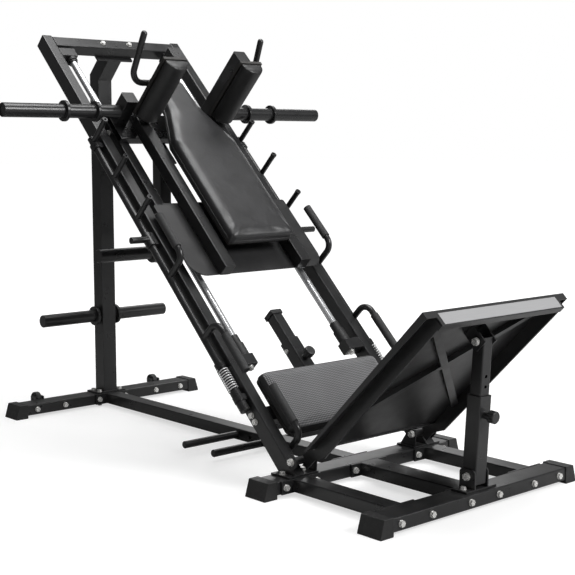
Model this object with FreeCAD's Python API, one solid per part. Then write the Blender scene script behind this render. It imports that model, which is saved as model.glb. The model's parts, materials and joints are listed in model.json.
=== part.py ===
import FreeCAD, Part
import math
import os
from FreeCAD import Vector

# Plate-loaded hack squat and leg press. All lengths are millimetres.
#
# Machine axes: +Z is up and the floor is Z = 0. The footplate end faces -Y, the
# tall upright stands at +Y, and the left side of somebody facing the machine is
# -X. The origin is on the floor in the middle of the machine's footprint.
#
# Sub-parts are drawn with Y = 0 where the ramp's zero line meets the floor. They
# move to the middle of the footprint as they are written.
#
# Everything on the ramp is drawn in ramp axes and then tipped: X still runs
# across, Y runs up the slope and Z stands straight out of the slope. tip() turns
# those axes into machine axes.

INCLINE = 45.0
SLOPE = math.radians(INCLINE)
SIDES = (-1, 1)

# Base
FLOOR_GAP = 10.0
BASE_TOP = 50.0
BASE_WALL = 2.5
STABILIZER_HALF = 415.0
STABILIZER_DEPTH = 80.0
REAR_Y = 1002.0
MID_Y = -426.0
FRONT_Y = -889.0
FLANGE = 6.0
FLANGE_HALF = 78.0
FLANGE_BOLT = 62.0
BASE_TUBE_X = 288.0
SIDE_TUBE_WIDTH = 62.0
BEAM_HALF = 30.0
FOOT_PLATE_TOP = BASE_TOP + FLANGE

# Ramp
RAIL_INNER = 271.0
RAIL_OUTER = 311.0
RAIL_LOW = 316.0
RAIL_HIGH = 372.0
RAIL_END = 1656.0
CROSSBAR = (1608.0, 1656.0)
HEAD_PLATE_LOW = 318.0
UPRIGHT_HALF = 30.0
LOWER_TIE = (-83.0, -33.0)
UPPER_TIE = (1188.0, 1248.0)
TIE_BRACKET_TOP = 360.0
TIE_DEPTH = 40.0

# Guide rods, bearings and carriage
GUIDE_X = 225.0
GUIDE_OUT = 350.0
GUIDE_RADIUS = 12.5
LOWER_BLOCK = (118.0, 160.0)
UPPER_BLOCK = (1555.0, 1597.0)
BLOCK_Z = (329.0, 371.0)
HOUSING_HALF = 20.0
BEARING_RADIUS = 17.0
BEARING_BORE = GUIDE_RADIUS + 0.05
LOWER_HOUSING = (700.0, 780.0)
UPPER_HOUSING = (1130.0, 1210.0)
CARRIAGE_HALF = 248.0
UPPER_CROSS = (1100.0, 1220.0)
CARRIAGE_LOW = GUIDE_OUT + HOUSING_HALF
UPPER_CROSS_TOP = 394.0
PLATE_LOW = 404.0
PLATE_HIGH = 408.0
PLATE_HALF = 291.0
PLATE_SPAN = (455.0, 770.0)
RUNNER_X = (146.0, 190.0)
RUNNER_HIGH = 453.0
RUNNER_START = 450.0

# Shoulder pads, handles and weight horns
SHOULDER_POST_X = (120.0, 170.0)
SHOULDER_POST_Y = (1146.0, 1196.0)
SHOULDER_POST_TOP = 732.0
SHOULDER_PAD_X = (119.0, 217.0)
SHOULDER_PAD_Z = (475.0, 732.0)
SHOULDER_PAD_DEPTH = 50.0
PAD_BOARD = 12.0
HORN_POST_X = (195.0, 245.0)
HORN_POST_Y = (1164.0, 1214.0)
HORN_POST_TOP = 505.0
HORN_ALONG = 1182.0
HORN_OUT = 442.0
HORN_RADIUS = 24.0
HORN_WALL = 3.0
HORN_END = 699.0
HORN_RECESS = 4.0
COLLAR_RADIUS = 36.0
COLLAR_THICK = 12.0
INNER_COLLAR_X = 346.0
OUTER_COLLAR_X = 458.0
J_ALONG = 1171.0
J_OUT = 590.0
HANDLE_RADIUS = 11.0
GRIP_RADIUS = 14.0

# Safety bars
BAR_X = 331.0
BAR_OUT = 345.0
BAR_RADIUS = 12.5
BAR_SPAN = (-30.0, 1146.0)
BAR_COLLARS = ((132.0, 152.0), (26.0, 44.0), (-30.0, 2.0))
PEG_PLACES = (764.0, 953.0, 1128.0)
PEG_RADIUS = 9.5
PEG_TOP = 457.0
BUSHING_BORE = BAR_RADIUS + 0.05
BUSHING_EYE = 18.0
BUSHINGS = ((4.0, 24.0), (640.0, 692.0), (1092.0, 1114.0))
SPRING_SPAN = (44.0, 132.0)
SPRING_RADIUS = 16.5
SPRING_WIRE = 1.9
SPRING_TURNS = 9.5

# Back pad
BACK_BOARD = (453.5, 463.0)
BACK_PAD_Z = (463.5, 508.0)

# Footplate
HINGE_Y = -452.0
HINGE_Z = 96.0
TRAY_HALF = 308.0
TRAY_FACE = -257.0
TRAY_LOW = 454.0
TRAY_HIGH = 1098.0
TRAY_SHEET = 3.0
TRAY_LIP = 22.0
TRAY_FOOT_LIP = 8.0
TRAY_TOP_DEPTH = 50.0
SHELF_HALF = 268.0
ARM_X = (262.0, 268.0)
ARM_BACK = -304.0
ARM_FOOT_BACK = -284.0
ARM_FOOT_FRONT = -244.0
ARM_FOOT = 384.0
RIB_BACK = -275.0
LUG_ALONG = -304.0
LUG_OUT = 985.0
LUG_GAP = 21.0
LUG_THICK = 5.0
PIVOT_RADIUS = 6.0
PIVOT_BORE = PIVOT_RADIUS + 0.05
LUG_HALF = 22.0
POST_SLOT = PIVOT_RADIUS + 4.5

# Support post behind the footplate
POST_PIVOT_Y = -887.0
POST_PIVOT_Z = 90.0
POST_HALF = 25.0
POST_WALL = 4.5
POST_INNER_HALF = 20.0
POST_LENGTH = 236.0
POST_PIN_UP = 182.0

# Seat
STEM_HALF = 20.0
STEM_OUT = 340.0
STEM_SPAN = (-33.0, 305.0)
SLEEVE_HALF = 24.0
SLEEVE_WALL = 3.5
SLEEVE_SPAN = (-28.0, 202.0)
SEAT_HALF = 260.0
SEAT_SPAN = (-163.0, 68.0)
SEAT_BOARD_Z = (366.0, 376.0)
SEAT_PAD_Z = (376.5, 410.5)
SEAT_PIN_ALONG = 116.0
SEAT_BOLT = (168.0, 330.0)

# Storage horns and transport wheels
STORAGE_Z = 359.0
STORAGE_END = 286.0
STORAGE_POST_Y = 605.0
STORAGE_POST_HALF = 25.0
UPPER_STORAGE_Z = 637.0
WHEEL_X = 278.0
WHEEL_Y = 1076.0
WHEEL_Z = 46.0
WHEEL_RADIUS = 26.0
WHEEL_HALF = 11.0
AXLE_RADIUS = 5.0
AXLE_BORE = AXLE_RADIUS + 0.05

HOLE_RADIUS = 5.2
BOLT_RADIUS = 5.0


def box(x, y, z):
    """A box from three (low, high) pairs."""
    size = Vector(x[1] - x[0], y[1] - y[0], z[1] - z[0])
    return Part.makeBox(size.x, size.y, size.z, Vector(x[0], y[0], z[0]))


def mirrored(x, side):
    """A (low, high) pair for one side of the machine from its distances off centre."""
    return x if side > 0 else (-x[1], -x[0])


def tip(shape):
    """Turn a shape from ramp axes into machine axes."""
    turned = shape.copy()
    turned.rotate(Vector(0, 0, 0), Vector(1, 0, 0), INCLINE)
    return turned


def tipped_point(x, along, out):
    """A point on the ramp in machine axes."""
    return Vector(
        x,
        along * math.cos(SLOPE) - out * math.sin(SLOPE),
        along * math.sin(SLOPE) + out * math.cos(SLOPE),
    )


def join(shapes):
    """Fuse shapes that are one welded piece."""
    joined = shapes[0]
    for shape in shapes[1:]:
        joined = joined.fuse(shape)
    return joined.removeSplitter()


def edges_along(shape, direction):
    """The straight edges of a shape that run in one direction."""
    found = []
    for edge in shape.Edges:
        if abs(edge.tangentAt(edge.FirstParameter).dot(direction)) > 0.999:
            found.append(edge)
    return found


AXES = {"x": Vector(1, 0, 0), "y": Vector(0, 1, 0), "z": Vector(0, 0, 1)}


def square_bar(run, x, y, z, corner=4.0):
    """A solid bar with rounded long edges, running along one axis."""
    bar = box(x, y, z)
    return bar.makeFillet(corner, edges_along(bar, AXES[run]))


def square_tube(run, x, y, z, wall=BASE_WALL):
    """An open rectangular tube running along one axis."""
    spans = {"x": x, "y": y, "z": z}
    inside = {}
    for name, span in spans.items():
        inset = 0.0 if name == run else wall
        inside[name] = (span[0] + inset, span[1] - inset)
    outer = square_bar(run, x, y, z)
    inner = square_bar(run, inside["x"], inside["y"], inside["z"], corner=1.5)
    return outer.cut(inner)


def rod(start, end, radius):
    """A round bar between two points."""
    return Part.makeCylinder(radius, (end - start).Length, start, end - start)


def pipe(start, end, radius, bore):
    """A round tube between two points."""
    return rod(start, end, radius).cut(rod(start, end, bore))


def bent_path(points, bend):
    """A wire through points with its corners rounded to one bend radius."""
    edges = []
    reached = points[0]
    for before, corner, after in zip(points, points[1:], points[2:]):
        back = (before - corner).normalize()
        ahead = (after - corner).normalize()
        half_angle = back.getAngle(ahead) / 2.0
        leg = bend / math.tan(half_angle)
        enter = corner + back * leg
        leave = corner + ahead * leg
        centre = corner + (back + ahead).normalize() * (bend / math.sin(half_angle))
        middle = centre + (corner - centre).normalize() * bend
        edges.append(Part.makeLine(reached, enter))
        edges.append(Part.Arc(enter, middle, leave).toShape())
        reached = leave
    edges.append(Part.makeLine(reached, points[-1]))
    return Part.Wire(edges)


def bent_bar(points, radius, bend):
    """A round bar swept along a bent path."""
    start = points[0]
    profile = Part.Wire(Part.makeCircle(radius, start, points[1] - start))
    return bent_path(points, bend).makePipeShell([profile], True, False)


def prism(points, start, travel):
    """A closed outline of points pushed through a distance."""
    outline = Part.makePolygon(list(points) + [points[0]])
    solid = Part.Face(outline).extrude(travel)
    solid.translate(start)
    return solid


def side_plate(points, x):
    """A plate from (y, z) corners, spanning a pair of X values."""
    corners = [Vector(0, y, z) for y, z in points]
    return prism(corners, Vector(x[0], 0, 0), Vector(x[1] - x[0], 0, 0))


def hex_prism(at, axis, across, height):
    """A hexagonal prism such as a bolt head."""
    corner = across / math.sqrt(3.0)
    points = []
    for step in range(7):
        angle = math.radians(60 * step)
        points.append(Vector(corner * math.cos(angle), corner * math.sin(angle), 0))
    solid = Part.Face(Part.makePolygon(points)).extrude(Vector(0, 0, height))
    solid.Placement = FreeCAD.Placement(at, FreeCAD.Rotation(Vector(0, 0, 1), axis))
    return solid


def bolt(at, axis, grip, radius=BOLT_RADIUS):
    """A hex bolt with washers and a nut. at is on the clamped face and axis points out of it."""
    far = at - axis * grip
    washer = 1.5
    parts = [
        rod(far - axis * (washer + 8.0), at + axis * washer, radius),
        rod(at, at + axis * washer, radius * 2.0),
        hex_prism(at + axis * washer, axis, radius * 3.2, radius * 1.3),
        rod(far, far - axis * washer, radius * 2.0),
        hex_prism(far - axis * washer, axis * -1, radius * 3.2, radius * 1.5),
    ]
    return join(parts)


def drilled(shape, places, radius=HOLE_RADIUS):
    """Cut a clearance hole at every bolt place."""
    for at, axis, grip in places:
        shape = shape.cut(rod(at + axis * 20.0, at - axis * (grip + 20.0), radius))
    return shape


def front_bolts():
    """Bolts through the front stabilizer into the three base tubes."""
    places = []
    for centre in (-BASE_TUBE_X, 0.0, BASE_TUBE_X):
        for side in SIDES:
            at = Vector(centre + side * FLANGE_BOLT, FRONT_Y - STABILIZER_DEPTH / 2, 30.0)
            places.append((at, Vector(0, -1, 0), STABILIZER_DEPTH + FLANGE))
    return places


def mid_bolts():
    """Bolts through the base tube flanges into the middle stabilizer."""
    places = []
    for centre in (-BASE_TUBE_X, 0.0, BASE_TUBE_X):
        for side in SIDES:
            at = Vector(centre + side * FLANGE_BOLT, MID_Y - STABILIZER_DEPTH / 2 - FLANGE, 30.0)
            grip = STABILIZER_DEPTH + FLANGE
            if centre == 0.0:
                grip += FLANGE
            places.append((at, Vector(0, -1, 0), grip))
    return places


def rear_bolts():
    """Bolts through the rear stabilizer for the beam and the wheel brackets."""
    places = []
    for side in SIDES:
        beam_at = Vector(side * FLANGE_BOLT, REAR_Y - STABILIZER_DEPTH / 2 - FLANGE, 30.0)
        places.append((beam_at, Vector(0, -1, 0), STABILIZER_DEPTH + FLANGE))
        for step in SIDES:
            x = side * (WHEEL_X + step * FLANGE_BOLT)
            at = Vector(x, REAR_Y - STABILIZER_DEPTH / 2, 30.0)
            places.append((at, Vector(0, -1, 0), STABILIZER_DEPTH + FLANGE))
    return places


def foot_bolts():
    """Bolts that hold the rail feet, the upright and the post bracket down."""
    places = []
    down = BASE_TOP - FLOOR_GAP + FLANGE
    for side in SIDES:
        for x in (242.0, 324.0):
            places.append((Vector(side * x, MID_Y, FOOT_PLATE_TOP), Vector(0, 0, 1), down))
        for y in (-22.0, 22.0):
            at = Vector(side * 47.0, REAR_Y + y, FOOT_PLATE_TOP)
            places.append((at, Vector(0, 0, 1), down))
        places.append((Vector(side * 48.0, POST_PIVOT_Y, FOOT_PLATE_TOP), Vector(0, 0, 1), down))
    return places


def ramp_places(places):
    """Move bolt places from ramp axes to machine axes."""
    turned = []
    for at, axis, grip in places:
        turned.append((tipped_point(at.x, at.y, at.z), tipped_point(axis.x, axis.y, axis.z), grip))
    return turned


def tie_bolts():
    """Bolts through each rail into the lower tie, in ramp axes."""
    middle = (LOWER_TIE[0] + LOWER_TIE[1]) / 2
    places = []
    for side in SIDES:
        for step in SIDES:
            at = Vector(side * RAIL_OUTER, middle + step * 12.0, 338.0)
            places.append((at, Vector(side, 0, 0), RAIL_OUTER - RAIL_INNER + FLANGE))
    return places


def head_bolts():
    """Bolts through the crossbar into the head plate of the upright, in ramp axes."""
    places = []
    for side in SIDES:
        at = Vector(side * 60.0, (CROSSBAR[0] + CROSSBAR[1]) / 2, RAIL_HIGH)
        places.append((at, Vector(0, 0, 1), RAIL_HIGH - HEAD_PLATE_LOW))
    return places


def stabilizer(y, places):
    """A rectangular cross tube that carries the machine on the floor."""
    half = STABILIZER_DEPTH / 2
    spans = ((-STABILIZER_HALF, STABILIZER_HALF), (y - half, y + half), (FLOOR_GAP, BASE_TOP))
    return drilled(square_tube("x", *spans), places)


def end_caps():
    """Six sloped rubber feet that close the stabilizers and touch the floor."""
    caps = []
    half = STABILIZER_DEPTH / 2
    for y in (REAR_Y, MID_Y, FRONT_Y):
        for side in SIDES:
            corners = []
            for x, z in ((382.0, 0.0), (434.0, 0.0), (418.0, 53.0), (382.0, 53.0)):
                corners.append(Vector(side * x, 0, z))
            cap = prism(corners, Vector(0, y - half - 3.0, 0), Vector(0, 2 * half + 6.0, 0))
            cap = cap.makeFillet(2.5, edges_along(cap, AXES["y"]))
            socket = square_bar(
                "x",
                mirrored((380.0, STABILIZER_HALF), side),
                (y - half, y + half),
                (FLOOR_GAP, BASE_TOP),
            )
            caps.append(cap.cut(socket))
    return caps


def flanged_tube(x, half_width, y):
    """A base tube with a bolting flange at each end."""
    tube = square_tube(
        "y", (x - half_width, x + half_width), (y[0] + FLANGE, y[1] - FLANGE), (FLOOR_GAP, BASE_TOP)
    )
    flanges = []
    for start in (y[0], y[1] - FLANGE):
        flanges.append(
            box((x - FLANGE_HALF, x + FLANGE_HALF), (start, start + FLANGE), (FLOOR_GAP, BASE_TOP))
        )
    return join([tube] + flanges)


def base_tubes():
    """Three tubes that tie the front and middle stabilizers together."""
    span = (FRONT_Y + STABILIZER_DEPTH / 2, MID_Y - STABILIZER_DEPTH / 2)
    places = front_bolts() + mid_bolts()
    tubes = [flanged_tube(0.0, 40.0, span)]
    for side in SIDES:
        tubes.append(flanged_tube(side * BASE_TUBE_X, SIDE_TUBE_WIDTH / 2, span))
    return [drilled(tube, places) for tube in tubes]


def centre_beam():
    """The long floor beam from the middle stabilizer to the rear one."""
    span = (MID_Y + STABILIZER_DEPTH / 2, REAR_Y - STABILIZER_DEPTH / 2)
    beam = flanged_tube(0.0, BEAM_HALF, span)
    for y in (140.0, -15.0):
        beam = beam.cut(rod(Vector(-60, y, 30), Vector(60, y, 30), 12.5))
    beam = beam.cut(rod(Vector(-60, 72, 29), Vector(60, 72, 29), 6.0))
    return drilled(beam, mid_bolts() + rear_bolts())


def floor_band_pegs():
    """Two long round pegs through the beam for stretch bands."""
    pegs = []
    for y in (140.0, -15.0):
        peg = rod(Vector(-262, y, 30), Vector(262, y, 30), 12.5)
        pegs.append(peg.makeFillet(4.0, [edge for edge in peg.Edges if edge.Closed]))
    return pegs


def upright_outline(inset):
    """Corners of the upright's side view: vertical, then square to the ramp at the top."""
    back = REAR_Y + UPRIGHT_HALF - inset
    front = REAR_Y - UPRIGHT_HALF + inset
    high = 1655.0 - inset
    low = 1595.0 + inset
    end = HEAD_PLATE_LOW
    root = math.sqrt(2.0)
    return [
        (front, FOOT_PLATE_TOP),
        (back, FOOT_PLATE_TOP),
        (back, high * root - back),
        ((high - end) / root, (high + end) / root),
        ((low - end) / root, (low + end) / root),
        (front, low * root - front),
    ]


def rear_upright():
    """The tall rear post with its foot plate and its slanted head."""
    outer = side_plate(upright_outline(0.0), (-UPRIGHT_HALF, UPRIGHT_HALF))
    inner_half = UPRIGHT_HALF - BASE_WALL
    inner = side_plate(upright_outline(BASE_WALL), (-inner_half, inner_half))
    foot = box((-65.0, 65.0), (REAR_Y - 40.0, REAR_Y + 40.0), (BASE_TOP, FOOT_PLATE_TOP))
    head = tip(box((-80.0, 80.0), (1595.0, CROSSBAR[1]), (HEAD_PLATE_LOW, 326.0)))
    post = join([outer.cut(inner), foot, head])
    post = drilled(post, foot_bolts() + ramp_places(head_bolts()))
    stub = rod(Vector(-60, REAR_Y, STORAGE_Z), Vector(60, REAR_Y, STORAGE_Z), HORN_RADIUS)
    return post.cut(stub)


def top_crossbar():
    """The bar that ties the tops of both rails."""
    bar = square_tube("x", (-RAIL_INNER, RAIL_INNER), CROSSBAR, (326.0, RAIL_HIGH))
    return tip(drilled(bar, head_bolts()))


def rail(side):
    """One inclined rail with its foot plate."""
    beam = square_tube(
        "y", mirrored((RAIL_INNER, RAIL_OUTER), side), (-420.0, RAIL_END), (RAIL_LOW, RAIL_HIGH), 3.0
    )
    beam = tip(drilled(beam, tie_bolts()))
    ground = box((-400.0, 400.0), (-900.0, 400.0), (-400.0, FOOT_PLATE_TOP))
    foot = box(
        mirrored((214.0, 336.0), side), (MID_Y - 40.0, MID_Y + 38.0), (BASE_TOP, FOOT_PLATE_TOP)
    )
    return drilled(join([beam.cut(ground), foot]), foot_bolts())


def tube_plugs():
    """Plastic plugs in the open ends of the rails, the seat stem and the shoulder posts."""
    plugs = []
    for side in SIDES:
        plugs.append(
            square_bar("y", mirrored((RAIL_INNER, RAIL_OUTER), side), (RAIL_END, RAIL_END + 4.0),
                       (RAIL_LOW, RAIL_HIGH))
        )
    cap_half = STEM_HALF + 4.0
    stem_cap = square_bar(
        "y", (-cap_half, cap_half), (STEM_SPAN[1], STEM_SPAN[1] + 15.0),
        (STEM_OUT - cap_half, STEM_OUT + cap_half)
    )
    plugs.append(stem_cap)
    return [tip(plug) for plug in plugs]


def lower_tie():
    """The cross tube near the feet of the rails, with a flange against each rail."""
    low = 338.0 - TIE_DEPTH / 2
    high = 338.0 + TIE_DEPTH / 2
    inner = RAIL_INNER - FLANGE
    tie = [square_tube("x", (-inner, inner), LOWER_TIE, (low, high))]
    for side in SIDES:
        tie.append(box(mirrored((inner, RAIL_INNER), side), (-88.0, -28.0), (low - 2.0, high + 2.0)))
    return tip(drilled(join(tie), tie_bolts()))


def upper_tie():
    """The cross tube hung between the rails, with the hanging post for plate storage."""
    low = RAIL_LOW - TIE_DEPTH
    inner = RAIL_INNER - FLANGE
    tie = [tip(square_tube("x", (-inner, inner), UPPER_TIE, (low, RAIL_LOW)))]
    for side in SIDES:
        tie.append(tip(box(mirrored((inner, RAIL_INNER), side), UPPER_TIE, (low, TIE_BRACKET_TOP))))
    plate = tip(box((-48.0, 48.0), (1090.0, UPPER_TIE[1]), (low - FLANGE, low)))
    half = STORAGE_POST_HALF
    post = square_tube(
        "z", (-half, half), (STORAGE_POST_Y - half, STORAGE_POST_Y + half), (600.0, 1100.0)
    )
    above = tip(box((-200.0, 200.0), (400.0, 2000.0), (low - FLANGE, 900.0)))
    foot = box(
        (-half, half), (STORAGE_POST_Y - half, STORAGE_POST_Y + half), (597.0, 600.0)
    )
    post = join(tie + [plate, post.cut(above), foot])
    start = Vector(-60, STORAGE_POST_Y, UPPER_STORAGE_Z)
    return post.cut(rod(start, Vector(60, STORAGE_POST_Y, UPPER_STORAGE_Z), HORN_RADIUS))


def storage_horns():
    """Two round bars right through the posts that store spare plates, with stop collars."""
    horns = []
    for y, z in ((REAR_Y, STORAGE_Z), (STORAGE_POST_Y, UPPER_STORAGE_Z)):
        bar = rod(Vector(-STORAGE_END, y, z), Vector(STORAGE_END, y, z), HORN_RADIUS)
        bar = bar.makeChamfer(2.0, [edge for edge in bar.Edges if edge.Closed])
        for side in SIDES:
            start = Vector(side * 42.0, y, z)
            collar = rod(start, start + Vector(side * COLLAR_THICK, 0, 0), COLLAR_RADIUS + 2.0)
            collar = collar.makeFillet(2.0, [edge for edge in collar.Edges if edge.Closed])
            bar = bar.fuse(collar)
        horns.append(bar)
    return horns


def guide_rods():
    """The two round rods that the carriage runs on."""
    rods = []
    for side in SIDES:
        start = Vector(side * GUIDE_X, LOWER_BLOCK[0], GUIDE_OUT)
        end = Vector(side * GUIDE_X, UPPER_BLOCK[1], GUIDE_OUT)
        rods.append(tip(rod(start, end, GUIDE_RADIUS)))
    return rods


def rod_blocks():
    """Four blocks on the inner faces of the rails that hold the guide rod ends."""
    blocks = []
    for side in SIDES:
        for span in (LOWER_BLOCK, UPPER_BLOCK):
            block = square_bar("x", mirrored((205.0, RAIL_INNER), side), span, BLOCK_Z, 3.0)
            start = Vector(side * GUIDE_X, span[0] - 5.0, GUIDE_OUT)
            end = Vector(side * GUIDE_X, span[1] + 5.0, GUIDE_OUT)
            blocks.append(tip(block.cut(rod(start, end, GUIDE_RADIUS))))
    return blocks


def rod_bumpers():
    """Stepped rubber stops at both ends of each guide rod."""
    bumpers = []
    for side in SIDES:
        for start, direction in ((LOWER_BLOCK[1], 1), (UPPER_BLOCK[0], -1)):
            parts = []
            for radius, length in ((20.0, 46.0), (16.5, 80.0)):
                if direction < 0:
                    length = length / 4.0
                foot = Vector(side * GUIDE_X, start, GUIDE_OUT)
                parts.append(rod(foot, foot + Vector(0, direction * length, 0), radius))
            bumper = join(parts)
            core_start = Vector(side * GUIDE_X, start - 5.0, GUIDE_OUT)
            if direction < 0:
                core_start = Vector(side * GUIDE_X, start - 60.0, GUIDE_OUT)
            core = rod(core_start, core_start + Vector(0, 100.0, 0), GUIDE_RADIUS)
            bumpers.append(tip(bumper.cut(core)))
    return bumpers


def bar_bushings():
    """Eyes on the rails in which the safety bars turn; the middle ones carry a band peg."""
    blocks = []
    for side in SIDES:
        for span in BUSHINGS:
            eye = rod(
                Vector(side * BAR_X, span[0], BAR_OUT), Vector(side * BAR_X, span[1], BAR_OUT), BUSHING_EYE
            )
            web = box(mirrored((RAIL_OUTER, BAR_X), side), span, (BAR_OUT - 16.0, BAR_OUT + 16.0))
            block = join([eye, web])
            if span == BUSHINGS[1]:
                middle = (span[0] + span[1]) / 2
                start = Vector(side * 340.0, middle, 354.0)
                block = block.fuse(rod(start, start + Vector(side * 68.0, 0, 0), 11.0))
            bore = rod(
                Vector(side * BAR_X, span[0] - 1.0, BAR_OUT),
                Vector(side * BAR_X, span[1] + 1.0, BAR_OUT),
                BUSHING_BORE,
            )
            blocks.append(tip(block.cut(bore)))
    return blocks


def seat_stem():
    """The fixed square tube that the seat slides on."""
    half = STEM_HALF
    return tip(
        square_tube("y", (-half, half), STEM_SPAN, (STEM_OUT - half, STEM_OUT + half))
    )


def seat_handle_path(side):
    """Centre line of a seat side handle, in ramp axes."""
    x = side * 256.0
    return [Vector(x, -190.0, 322.0), Vector(x, -190.0, 426.0), Vector(x, -4.0, 426.0)]


def seat_handles():
    """Bent handles beside the seat, welded to the inner faces of the rails."""
    handles = []
    for side in SIDES:
        bar = bent_bar(seat_handle_path(side), HANDLE_RADIUS, 34.0)
        pad = box(mirrored((258.0, RAIL_INNER), side), (-204.0, -176.0), (324.0, 368.0))
        handles.append(tip(bar.fuse(pad)))
    return handles


def seat_handle_grips():
    """Foam grips on the seat side handles."""
    grips = []
    for side in SIDES:
        path = seat_handle_path(side)
        grips.append(tip(pipe(path[2] - Vector(0, 140.0, 0), path[2], GRIP_RADIUS, HANDLE_RADIUS)))
    return grips


def hinge_lugs():
    """Plates beside each rail foot that carry the footplate hinge bolts."""
    lugs = []
    for side in SIDES:
        outer = box(mirrored((306.0, RAIL_OUTER), side), (-274.0, -230.0), (RAIL_HIGH, 406.0))
        outer = tip(outer.makeFillet(14.0, cheek_tops(outer, 406.0)))
        corners = [
            (-463.0, FOOT_PLATE_TOP), (-400.0, FOOT_PLATE_TOP), (-437.0, 112.0), (-467.0, 112.0),
        ]
        inner = side_plate(corners, mirrored((218.0, 223.0), side))
        hole = rod(Vector(-400, HINGE_Y, HINGE_Z), Vector(400, HINGE_Y, HINGE_Z), PIVOT_RADIUS)
        lugs.append(outer.cut(hole))
        lugs.append(inner.cut(hole))
    return lugs


def hinge_bolts():
    """The two long bolts that the footplate swings on."""
    bolts = []
    for side in SIDES:
        at = Vector(side * RAIL_OUTER, HINGE_Y, HINGE_Z)
        bolts.append(bolt(at, Vector(side, 0, 0), RAIL_OUTER - 218.0, PIVOT_RADIUS))
    return bolts


def post_bracket():
    """The bracket on the front stabilizer that the support post stands in."""
    y = (POST_PIVOT_Y - 28.0, POST_PIVOT_Y + 28.0)
    parts = [box((-66.0, 66.0), y, (BASE_TOP, FOOT_PLATE_TOP))]
    for side in SIDES:
        cheek = box(mirrored((26.0, 31.0), side), y, (FOOT_PLATE_TOP, 112.0))
        parts.append(cheek.makeFillet(12.0, cheek_tops(cheek, 112.0)))
    hole = rod(Vector(-60, POST_PIVOT_Y, POST_PIVOT_Z), Vector(60, POST_PIVOT_Y, POST_PIVOT_Z), 6.0)
    return drilled(join(parts).cut(hole), foot_bolts())


def cheek_tops(shape, height):
    """The edges along X at the top of a cheek plate."""
    return [edge for edge in edges_along(shape, AXES["x"]) if edge.CenterOfMass.z > height - 0.1]


def frame_bolts():
    """Every fastener that belongs to the fixed frame."""
    places = front_bolts() + mid_bolts() + rear_bolts() + foot_bolts()
    places += ramp_places(tie_bolts() + head_bolts())
    bolts = [bolt(*place) for place in places]
    post_at = Vector(-31.0, POST_PIVOT_Y, POST_PIVOT_Z)
    bolts.append(bolt(post_at, Vector(-1, 0, 0), 62.0, PIVOT_RADIUS))
    for side in SIDES:
        end = tipped_point(side * GUIDE_X, LOWER_BLOCK[0], GUIDE_OUT)
        outward = tipped_point(0, -1, 0)
        bolts.append(join([rod(end, end + outward * 2, 11.0), hex_prism(end + outward * 2, outward, 16, 7)]))
    return bolts + hinge_bolts()


def wheel_brackets():
    """Forked brackets behind the rear stabilizer with their axles."""
    parts = []
    back = REAR_Y + STABILIZER_DEPTH / 2
    for side in SIDES:
        x = side * WHEEL_X
        plate = box((x - FLANGE_HALF, x + FLANGE_HALF), (back, back + FLANGE), (14.0, 46.0))
        fork = [drilled(plate, rear_bolts())]
        for step in SIDES:
            cheek_x = (x + step * 16.0 - 2.0, x + step * 16.0 + 2.0)
            fork.append(box(cheek_x, (back + FLANGE, WHEEL_Y + 12.0), (30.0, 58.0)))
        axle = rod(Vector(x - 20, WHEEL_Y, WHEEL_Z), Vector(x + 20, WHEEL_Y, WHEEL_Z), AXLE_RADIUS)
        parts.append(join(fork + [axle]))
    return parts


def wheel(side):
    """A transport wheel with a shallow dish on each face."""
    x = side * WHEEL_X
    disc = rod(
        Vector(x - WHEEL_HALF, WHEEL_Y, WHEEL_Z), Vector(x + WHEEL_HALF, WHEEL_Y, WHEEL_Z), WHEEL_RADIUS
    )
    disc = disc.makeFillet(4.0, [edge for edge in disc.Edges if edge.Closed])
    for step in SIDES:
        face = Vector(x + step * WHEEL_HALF, WHEEL_Y, WHEEL_Z)
        dish = pipe(face, face - Vector(step * 3.0, 0, 0), 19.0, 10.0)
        disc = disc.cut(dish)
    return disc.cut(rod(Vector(x - 20, WHEEL_Y, WHEEL_Z), Vector(x + 20, WHEEL_Y, WHEEL_Z), AXLE_BORE))


def carriage_frame():
    """The welded carriage: two cross tubes, two runners and their spacers."""
    half = CARRIAGE_HALF
    parts = [
        square_tube("x", (-half, half), UPPER_CROSS, (CARRIAGE_LOW, UPPER_CROSS_TOP)),
        square_tube("x", (-half, half), LOWER_HOUSING, (CARRIAGE_LOW, PLATE_LOW)),
    ]
    for side in SIDES:
        x = mirrored(RUNNER_X, side)
        runner = square_tube("y", x, (RUNNER_START, SHOULDER_POST_Y[0]), (PLATE_HIGH, RUNNER_HIGH))
        plug = box(x, (RUNNER_START, RUNNER_START + 3.0), (PLATE_HIGH + 1.0, RUNNER_HIGH - 1.0))
        parts.append(runner)
        parts.append(plug.common(square_bar("y", x, (0.0, 2000.0), (PLATE_HIGH, RUNNER_HIGH))))
        parts.append(box(x, (UPPER_CROSS[0], SHOULDER_POST_Y[0]), (UPPER_CROSS_TOP, PLATE_HIGH)))
    return tip(join(parts))


def carriage_side_tubes():
    """Square tubes round the guide rods that join the lower and upper housings."""
    tubes = []
    for side in SIDES:
        x = mirrored((GUIDE_X - HOUSING_HALF, GUIDE_X + HOUSING_HALF), side)
        z = (GUIDE_OUT - HOUSING_HALF, GUIDE_OUT + HOUSING_HALF)
        tubes.append(tip(square_tube("y", x, (LOWER_HOUSING[1], UPPER_HOUSING[0]), z)))
    return tubes


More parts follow.
